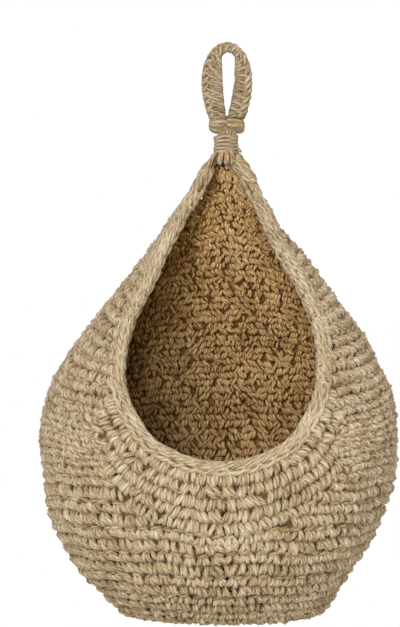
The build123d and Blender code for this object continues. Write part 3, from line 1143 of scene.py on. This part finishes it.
@dataclass
class HoodCrown:
    """The top of the bag, where the strands are gathered under the neck.

    The gathered strands lie in two layers round the back and the sides, and three more close
    the front, over the mouth.
    """

    bag: BagForm
    rng: np.random.Generator
    strands: int = 18
    steps: int = 14
    foot_level: float = -124.0
    core_level: float = -97.0
    head_level: float = -88.0
    back_sweep: tuple[float, float] = (76, 284)
    # Each layer: how far out it lies, and its tone; the lower layer is darker as painted shade.
    layers: tuple[tuple[float, float], ...] = ((-1.6, 0.0), (-4.8, -0.06))
    front_angles: Colour = (-0.52, -0.06, 0.36)

    def build(self) -> None:
        """Makes the gathered strands and the yarn inside them."""
        mesh = StrandMesh(RIM_YARN, self.rng)
        levels = (self.foot_level, self.core_level, self.head_level)
        low, core, high = (float(self.bag.climb_at(level)) for level in levels)
        share = np.linspace(0, 1, self.steps)
        bow = np.sin(math.pi * share)
        start, end = map(math.radians, self.back_sweep)
        inmost = self.layers[-1][0]
        column = np.zeros((self.strands, 1))
        for out, tone in self.layers:
            angle = np.linspace(start, end, self.strands) + self.rng.normal(0, 0.03, self.strands)
            climb = np.clip(low + (high - low) * share + self.rng.normal(0, 1.5, column.shape), 0, high)
            bend = angle[:, None] + 0.10 * bow * self.rng.choice((-1, 1), column.shape)
            depth = out - (out - inmost) * (1 - share) ** 2 + column
            points, outward = self.bag.place(climb, bend, depth)
            mesh.add(points, outward, tone + self.rng.normal(0, 0.03, column.shape))
        angle = np.array(self.front_angles)[:, None] + 0.06 * bow
        column = np.zeros((len(angle), 1))
        climb = np.linspace(float(self.bag.climb_at(self.core_level - 2.5)), high, self.steps) + column
        mesh.add(*self.bag.place(climb, angle, -1.4 - 5.0 * (1 - share) ** 6 + column), -0.04)
        mesh.piece("hood_crown_strands", WALL_JUTE, "bag", "hood_crown")
        around = np.linspace(0, FULL_TURN, 33)[:-1]
        rings = [self.bag.place(np.full(32, climb), around, -3.6)[0] for climb in np.linspace(core, high, 7)]
        # The crown's core is coloured dark as painted shade between the gathered strands.
        filling = quad_mesh("hood_crown_core", *tube(np.array(rings), turned_over=True))
        dress("hood_crown_core", filling, SHADED_RIM_BACKING, "bag", "hood_crown")


@dataclass
class HangingLoop:
    """The hanging loop: its stitched cover with the drop-shaped eye, its core and its feet.

    A place on the cover is how far along the loop it is from its left foot, and its angle
    round the cord from its outer side to the front. A knot is one strand of a stitch of the
    chain: along, round toward the outer side, and out, in UNITS of a stitch, radians and millimetres.
    """

    rng: np.random.Generator
    crown: float = 10.7
    half_width: float = 23.9
    belly_drop: float = 24.0
    half_depth: float = 6.5
    side_radius: float = 97.5
    eye_radius: float = 6.6
    toe_radius: float = 1.6
    eye_height: float = 50.0
    foot_drop: float = 59.0
    foot_level: float = -66.5
    foot_half_width: float = 15.4
    foot_strands: int = 6
    stitch_length: float = 6.5
    core_bend: float = 12.4
    stations: int = 400
    blunt: float = 0.8
    wraps: int = 3
    sink: float = 1.45
    toe_ramp: Ramp = (-56.0, 30.0)
    toe_shift: float = 1.5
    knots: tuple[tuple[Point, ...], ...] = (
        ((-62, -115, -22), (-42, -85, -9), (-12, -45, -1), (16, -10, -2), (34, 12, -22)),
        ((-30, 110, -24), (-14, 80, -12), (8, 42, -5), (28, 10, -6), (42, -12, -24)),
        ((16, 34, -24), (28, 22, -4), (44, 8, 3), (62, -8, -2), (76, -22, -24)),
    )

    def __post_init__(self) -> None:
        """Works out the outer and inner lines of the cover, from foot to foot."""
        turn = np.linspace(0, math.pi, 121)
        ray = np.column_stack([np.cos(turn), np.sin(turn)])
        belly = np.array((0, -self.belly_drop))
        tall = self.belly_drop + self.crown
        outer = ray / np.sqrt((ray[:, :1] / self.half_width) ** 2 + (ray[:, 1:] / tall) ** 2) + belly
        inner = np.array([self.first_outside(way * np.linspace(0, 40, 801)[:, None] + belly) for way in ray])
        level = np.linspace(-self.foot_drop - 1.0, -self.belly_drop - 0.6, 40)
        fall = level + self.belly_drop
        side = self.half_width - self.side_radius + np.sqrt(self.side_radius**2 - fall**2)
        leg = np.linspace(0, 12, 601)
        hollow = [self.first_outside(np.column_stack([leg, np.full(601, z)]))[0] for z in level]
        legs = [np.column_stack([x, level]) for x in (side, np.maximum(hollow, 0.4))]
        lines = [np.vstack([leg * (-1, 1), arch[::-1], leg[::-1]]) for leg, arch in zip(legs, (outer, inner))]
        length = distances((lines[0] + lines[1]) / 2)
        self.length = float(length[-1])
        self.station = np.linspace(0, self.length, self.stations)
        self.outer_line, self.inner_line = (self.even(line, length) for line in lines)
        self.inner_line[:, 0] += self.toe_shift * rise(self.inner_line[:, 1], *self.toe_ramp)

    def even(self, line: Array, length: Array) -> Array:
        """Spreads a line's points evenly along the loop, and smooths them."""
        spread = between(self.station, length, line)
        kernel = np.ones(15) / 15
        return np.column_stack([np.convolve(np.pad(x, 7, "edge"), kernel, "valid") for x in spread.T])

    def first_outside(self, line: Array) -> Array:
        """Gives the first point of a line that is outside the loop's eye."""
        return line[np.argmax(self.eye_gap(line) > 0)]

    def eye_gap(self, points: Array) -> Array:
        """Gives how far points in the plane of the loop are outside its eye."""
        drop = self.eye_height - self.eye_radius - self.toe_radius
        taper = (self.eye_radius - self.toe_radius) / drop
        slope = math.sqrt(1 - taper * taper)
        x, down = np.abs(points[:, 0]), -(points[:, 1] + self.eye_radius)
        key = -taper * x + slope * down
        top = np.hypot(x, down) - self.eye_radius
        toe = np.hypot(x, down - drop) - self.toe_radius
        side = x * slope + down * taper - self.eye_radius
        return np.where(key < 0, top, np.where(key > slope * drop, toe, side))

    def place(self, station: Array, angle: Array, out: Array | float) -> Places:
        """Gives points that stand out from the cover, and the way straight out at each."""
        station = np.clip(station, 0.2, self.length - 0.2)
        outer = between(station, self.station, self.outer_line)
        inner = between(station, self.station, self.inner_line)
        middle, half = (outer + inner) / 2, (outer - inner) / 2
        width = np.linalg.norm(half, axis=-1, keepdims=True)
        away = half / np.maximum(width, 1e-6)
        cos, sin = np.cos(angle)[..., None], np.sin(angle)[..., None]
        flat = middle + away * width * np.sign(cos) * np.abs(cos) ** self.blunt
        depth = -self.half_depth * np.sign(sin) * np.abs(sin) ** self.blunt
        points = np.concatenate([flat[..., :1], depth, flat[..., 1:]], axis=-1)
        normal = away * cos / np.maximum(width, 1)
        outward = unit(np.stack([normal[..., 0], -sin[..., 0] / self.half_depth, normal[..., 1]], axis=-1))
        return points + outward * np.asarray(out)[..., None], outward

    def build(self) -> None:
        """Makes the cover, the core and both feet."""
        self.cover()
        self.core()
        for side, name in ((-1, "left"), (1, "right")):
            self.foot(side, name)

    def cover(self) -> None:
        """Makes the wraps of the cover, the chain along it, and the yarn under both."""
        count = round(self.length / self.stitch_length)
        pitch = self.length / count
        number = np.arange(count)[:, None]
        seam = np.radians(np.interp(np.linspace(0, 1, count), (0, 0.42, 0.60, 1), (62, 62, 66, 70)))[:, None]
        right = np.linspace(0, 1, count)[:, None] > 0.5
        wraps = StrandMesh(HANDLE_YARN, self.rng)
        for half in range(2):
            turned = half + np.linspace(0, 1, HANDLE_YARN.steps)
            for rank in range(-1, self.wraps - 1):
                angle = seam + math.pi * turned + 0.02
                slant = np.where(right, 1.5 * (turned - 1), -1.3 * (1 - np.cos(angle - seam)))
                gather = (0.88 + 0.12 * np.cos(angle + 2.6)) / (self.wraps + 0.05)
                station = (number + 0.5) * pitch + rank * pitch * gather + slant
                station = station + self.rng.normal(0, 0.14, (count, 1))
                swell = (0.05 + 0.20 * np.cos(angle)) * (1 - 0.5 * abs(rank)) - 0.6
                tuck = 1.3 * (1 - turned) ** 10
                out = swell - self.sink + self.rng.normal(0, 0.12, (count, 1)) - tuck
                points, outward = self.place(station, angle, out)
                # Random tone, with painted shade on the wraps either side of the middle, deepest toward the
                # loop's outer side.
                tone = self.rng.normal(0, 0.05, (count, 1)) - 0.06 * abs(rank) * (1 + np.cos(angle))
                wraps.add(points, outward, tone)
        wraps.piece("loop_wraps", LOOP_JUTE, "loop", "loop_cover")
        chains = StrandMesh(CHAIN_YARN, self.rng)
        for knot in self.knots:
            along, aside, out = smooth_line(np.array(knot) / UNITS, CHAIN_YARN.steps).T
            out = out - 0.8 + self.rng.normal(0, 0.15, (count, 1))
            points, outward = self.place((number + along) * pitch, seam - aside, out)
            size = np.linspace(0.9, 1.2, count)[:, None]
            chains.add(points, outward, self.rng.normal(0.02, 0.04, (count, 1)), size)
        chains.piece("loop_chains", LOOP_JUTE, "loop", "loop_cover")
        stations, around = np.linspace(0.3, self.length - 0.3, 160), np.linspace(0, FULL_TURN, 21)[:-1]
        rings, _ = self.place(*np.meshgrid(stations, around, indexing="ij"), -2.0)
        # The yarn under the wraps is coloured dark as painted shade.
        dress("loop_inner_yarn", quad_mesh("loop_inner_yarn", *tube(rings)), SHADED_BACKING, "loop", "loop_cover")

    def core(self) -> None:
        """Makes the core cord, up one leg, round the eye and down the other."""
        bend_level = self.crown / 2 - self.core_bend
        turn = np.linspace(math.pi, 0, 40)
        bend = np.column_stack([np.cos(turn), 0 * turn, np.sin(turn)]) * self.core_bend + (0, 0, bend_level)
        level = np.linspace(self.foot_level, bend_level, 46)[:-1]
        leg = np.column_stack([0 * level - self.core_bend, 0 * level, level])
        path = np.vstack([leg, bend, (leg * (-1, 1, 1))[::-1]])
        mesh = StrandMesh(CORE_YARN, self.rng)
        mesh.add(path[None], np.broadcast_to((0.0, -1.0, 0.0), path[None].shape))
        mesh.piece("loop_core_cord", CORE_JUTE, "loop", "loop_core")

    def foot(self, side: int, name: str) -> None:
        """Makes the last stitches of one leg, a bundle of strands laid across it, and its filling.

        Args:
            side: -1 for the left leg, 1 for the right.
            name: The side's name.
        """
        mesh = StrandMesh(BUNDLE_YARN, self.rng)
        radius, top, level = self.half_depth, -self.foot_drop - 0.8, self.foot_level
        outline = [(-radius, top), (-radius, level + 1.0)]
        outline += [(-radius * math.cos(a), level - radius * math.sin(a)) for a in np.linspace(0, math.pi, 9)]
        outline += [(radius, level + 1.0), (radius, top)]
        line = smooth_line(np.array(outline), 300)
        length = distances(line)
        share = np.linspace(0, 1, BUNDLE_YARN.steps)
        ends = np.abs(2 * share - 1)
        x = side * (-0.6 + (self.foot_half_width + 0.2) * share)
        for number in range(self.foot_strands):
            y, z = between(length[-1] * (number + 0.5) / self.foot_strands, length, line)
            inward = unit(np.array([0.0, -y, level + 2.0 - z]))
            dip = 2.5 - 0.6 * np.sin(math.pi * share) + 4.2 * ends**5 + 0.8 * max(0.0, (level - z) / radius)
            slant = (0.8 if side < 0 else -3.2) * (share - 0.5) + self.rng.normal(0, 0.3)
            path = np.column_stack([x, y + inward[1] * dip, z + inward[2] * dip + slant])
            # Random tone, with painted shade at the strands' ends, where they tuck in.
            tone = self.rng.normal(0, 0.04) - 0.10 * ends**6
            size = self.rng.uniform(0.95, 1.12)
            mesh.add(path[None], np.broadcast_to(-inward, path[None].shape), tone[None], size)
        mesh.piece(f"loop_foot_{name}_bundle", LOOP_JUTE, "loop", f"loop_foot_{name}")
        angle = np.linspace(0, FULL_TURN, 25)[:-1]
        depth, height = (radius - 2.2) * np.cos(angle), (radius + 1.0) * np.sin(angle)
        rings = [
            np.column_stack([np.full(24, side * x), size * depth, level + 3.0 + size * height])
            for x, size in ((-0.4, 0.8), (3.0, 1.0), (8.0, 1.0), (12.0, 1.0), (13.0, 0.8))
        ]
        # The foot's filling is coloured dark as painted shade.
        filling = quad_mesh(f"loop_foot_{name}_core", *tube(np.array(rings), turned_over=side > 0))
        dress(f"loop_foot_{name}_core", filling, SHADED_BACKING, "loop", f"loop_foot_{name}")


@dataclass
class Neck:
    """The neck: a bundle of yarn ends under a tight winding, with its cut end.

    Each ring of the bundle is its radius and how many strands it has.
    """

    rng: np.random.Generator
    top: float = -73.4
    bottom: float = -91.8
    turns: int = 5
    pitch: float = 3.3
    radius: float = 9.65
    offset: float = 0.8
    tuck_turn: float = 0.10
    tuck_depth: float = 3.2
    throat_top: float = -67.0
    throat_drop: float = 11.0
    steps: int = 420
    rings: tuple[tuple[float, int], ...] = ((7.15, 14), (3.9, 8), (0.6, 1))
    tail: tuple[Point, ...] = (
        (8.6, -4.6, -86.0), (10.8, -5.8, -88.4), (12.4, -6.4, -90.4), (13.6, -6.6, -90.2),
    )

    def build(self) -> None:
        """Makes the bundle, the winding and its cut end, and the throat."""
        self.bundle()
        self.winding()

    def winding(self) -> None:
        """Makes the winding, its ends tucked in, and its cut end that stands out."""
        turn = np.linspace(-self.tuck_turn, self.turns + self.tuck_turn, self.steps)
        angle = FULL_TURN * turn
        past = (np.clip(-turn, 0, 1), np.clip(turn - self.turns, 0, 1))
        dip = sum(self.tuck_depth * (over / self.tuck_turn) ** 1.5 for over in past)
        wobble = 0.22 * np.sin(2.3 * angle + 1.0) + 0.18 * np.sin(0.7 * angle)
        level = self.top - 1.7 - self.pitch * turn + 0.30 * np.sin(angle + 0.6) + 0.16 * np.sin(3.1 * angle)
        level = level - 1.2 * np.cos(2 * angle) * np.exp(-np.maximum(turn, 0) / 1.2)
        reach = self.radius - dip + wobble
        path = np.column_stack([reach * np.cos(angle) - self.offset, reach * np.sin(angle), level])
        mesh = StrandMesh(WINDING_YARN, self.rng)
        mesh.add(path[None], np.column_stack([np.cos(angle), np.sin(angle), 0 * angle])[None])
        mesh.piece("neck_winding_yarn", LOOP_JUTE, "neck", "neck_winding")
        tail = smooth_line(np.array(self.tail), TAIL_YARN.steps)[None]
        stub = StrandMesh(TAIL_YARN, self.rng)
        taper = np.linspace(1, 0.8, TAIL_YARN.steps)
        stub.add(tail, np.broadcast_to((0.0, -1.0, 0.2), tail.shape), 0.0, taper)
        stub.piece("neck_cut_end", LOOP_JUTE, "neck", "neck_winding")

    def bundle(self) -> None:
        """Makes the upright yarn ends of the neck, and the throat that joins them to the loop."""
        mesh = StrandMesh(BUNDLE_YARN, self.rng)
        share = np.linspace(0, 1, 10)
        for radius, count in self.rings:
            angle = np.linspace(0, FULL_TURN, count + 1)[:-1, None] + 0.5 * share
            level = self.top - 1.2 + (self.bottom - self.top + 1.6) * share + np.zeros((count, 1))
            outward = np.stack([np.cos(angle), np.sin(angle), 0 * angle], axis=-1)
            points = np.stack([radius * np.cos(angle), radius * np.sin(angle), level], axis=-1)
            mesh.add(points, outward, self.rng.normal(0, 0.03, (count, 1)))
        mesh.piece("neck_bundle", CORE_JUTE, "neck", "neck_core")
        throat = StrandMesh(BUNDLE_YARN, self.rng)
        share = np.linspace(0, 1, BUNDLE_YARN.steps)
        for across in np.linspace(-6.6, 6.6, 5):
            for depth in (-2.0, 0.0, 2.0):
                x, y = across * (1.0 - 0.12 * share), depth * (1.0 + share)
                path = np.column_stack([x, y, self.throat_top - self.throat_drop * share])
                facing = np.broadcast_to((0.0, depth - 0.01, 0.0), path[None].shape) / 4
                throat.add(path[None], facing, -0.05, 0.7)
        piece = throat.piece("neck_throat", LOOP_JUTE, "")
        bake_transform(piece)


@dataclass
class Studio:
    """The camera at the photograph's angle, plain soft lamps and the pale ground, in metres.

    Each lamp is its name, its place, its power in watts and the side of its square.
    """

    distance: float = 1.8
    view_height: float = 0.5762
    sensor: float = 36.0
    middle: tuple[float, float] = (-0.0247, -0.2388)
    aim: Colour = (0.0, 0.0, -0.26)
    floor_level: float = -0.95
    floor_side: float = 4.0
    lamps: tuple[tuple[str, Colour, float, float], ...] = (
        ("key", (-0.75, -1.8, 0.55), 26.0, 0.7),
        ("front", (-0.30, -2.1, -0.05), 15.0, 0.5),
        ("fill", (1.6, -1.3, 0.1), 12.0, 1.2),
        ("back", (0.4, 1.6, 0.9), 12.0, 1.2),
    )

    def camera(self) -> None:
        """Makes the camera."""
        data = bpy.data.cameras.new("camera")
        data.sensor_fit = "VERTICAL"
        data.sensor_height = self.sensor
        data.lens = self.sensor * self.distance / self.view_height
        data.clip_end = 20.0
        camera = add_object("camera", data)
        camera.location = (self.middle[0], -self.distance, self.middle[1])
        camera.rotation_euler = (math.pi / 2, 0.0, 0.0)
        bpy.context.scene.camera = camera

    def lamp(self, name: str, place: Colour, power: float, size: float) -> None:
        """Makes one soft lamp that points at the basket."""
        data = bpy.data.lights.new(name, "AREA")
        data.energy, data.size = power, size
        lamp = add_object(name, data)
        lamp.location = place
        away = np.array(place) - np.array(self.aim)
        tilt = math.atan2(math.hypot(away[0], away[1]), away[2])
        lamp.rotation_euler = (tilt, 0.0, math.atan2(away[0], -away[1]))

    def build(self) -> None:
        """Makes the lamps, the world and the floor."""
        for lamp in self.lamps:
            self.lamp(*lamp)
        world = bpy.data.worlds.new("studio")
        bpy.context.scene.world = world
        world.use_nodes = True
        self.show_white(world.node_tree, "Background", Color=(1.0, 0.96, 0.89, 1.0), Strength=0.6)
        mesh = bpy.data.meshes.new("floor")
        corners = np.array(((-1, -1), (1, -1), (1, 1), (-1, 1))) * self.floor_side
        mesh.from_pydata([(x, y, self.floor_level) for x, y in corners.tolist()], [], [(0, 1, 2, 3)])
        material = bpy.data.materials.new("pale_floor")
        material.use_nodes = True
        grey = {"Base Color": (0.8, 0.8, 0.8, 1.0), "Roughness": 0.9}
        self.show_white(material.node_tree, "Principled BSDF", **grey)
        mesh.materials.append(material)
        add_object("floor", mesh)
        bpy.context.scene.view_settings.view_transform = "Standard"

    def show_white(self, tree: bpy.types.NodeTree, shader: str, **values: object) -> None:
        """Has the camera, and gloss, see plain white in place of a world's or a material's shader.

        Args:
            tree: The tree of the world or the material.
            shader: The name of the shader in it, which lights the rest.
            values: The shader's inputs.
        """
        graph = NodeGraph(tree)
        lit = tree.nodes[shader]
        for name, value in values.items():
            graph.feed(lit.inputs[name], value)
        path = graph.add("ShaderNodeLightPath")
        seen = graph.math("MAXIMUM", path.outputs["Is Camera Ray"], path.outputs["Is Glossy Ray"])
        seen = graph.math("MAXIMUM", seen, path.outputs["Is Transmission Ray"])
        white = graph.add("ShaderNodeEmission", Strength=1.0)
        mix = graph.add("ShaderNodeMixShader", Fac=seen)
        graph.feed(mix.inputs[1], lit.outputs[0])
        graph.feed(mix.inputs[2], white.outputs[0])
        output = next(node for node in tree.nodes if node.name.endswith("Output"))
        graph.feed(output.inputs["Surface"], mix.outputs[0])


def main() -> None:
    """Loads the frame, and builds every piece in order."""
    logging.basicConfig(level=logging.INFO, format="%(name)s %(message)s")
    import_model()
    studio = Studio()
    studio.camera()
    studio.build()
    rng = np.random.default_rng(7)
    bag = BagForm()
    mouth = MouthForm(bag)
    HangingLoop(rng).build()
    Neck(rng).build()
    HoodCrown(bag, rng).build()
    RimEdging(bag, mouth, rng).build()
    BagWall(bag, mouth, rng).build()


if __name__ == "__main__":
    main()
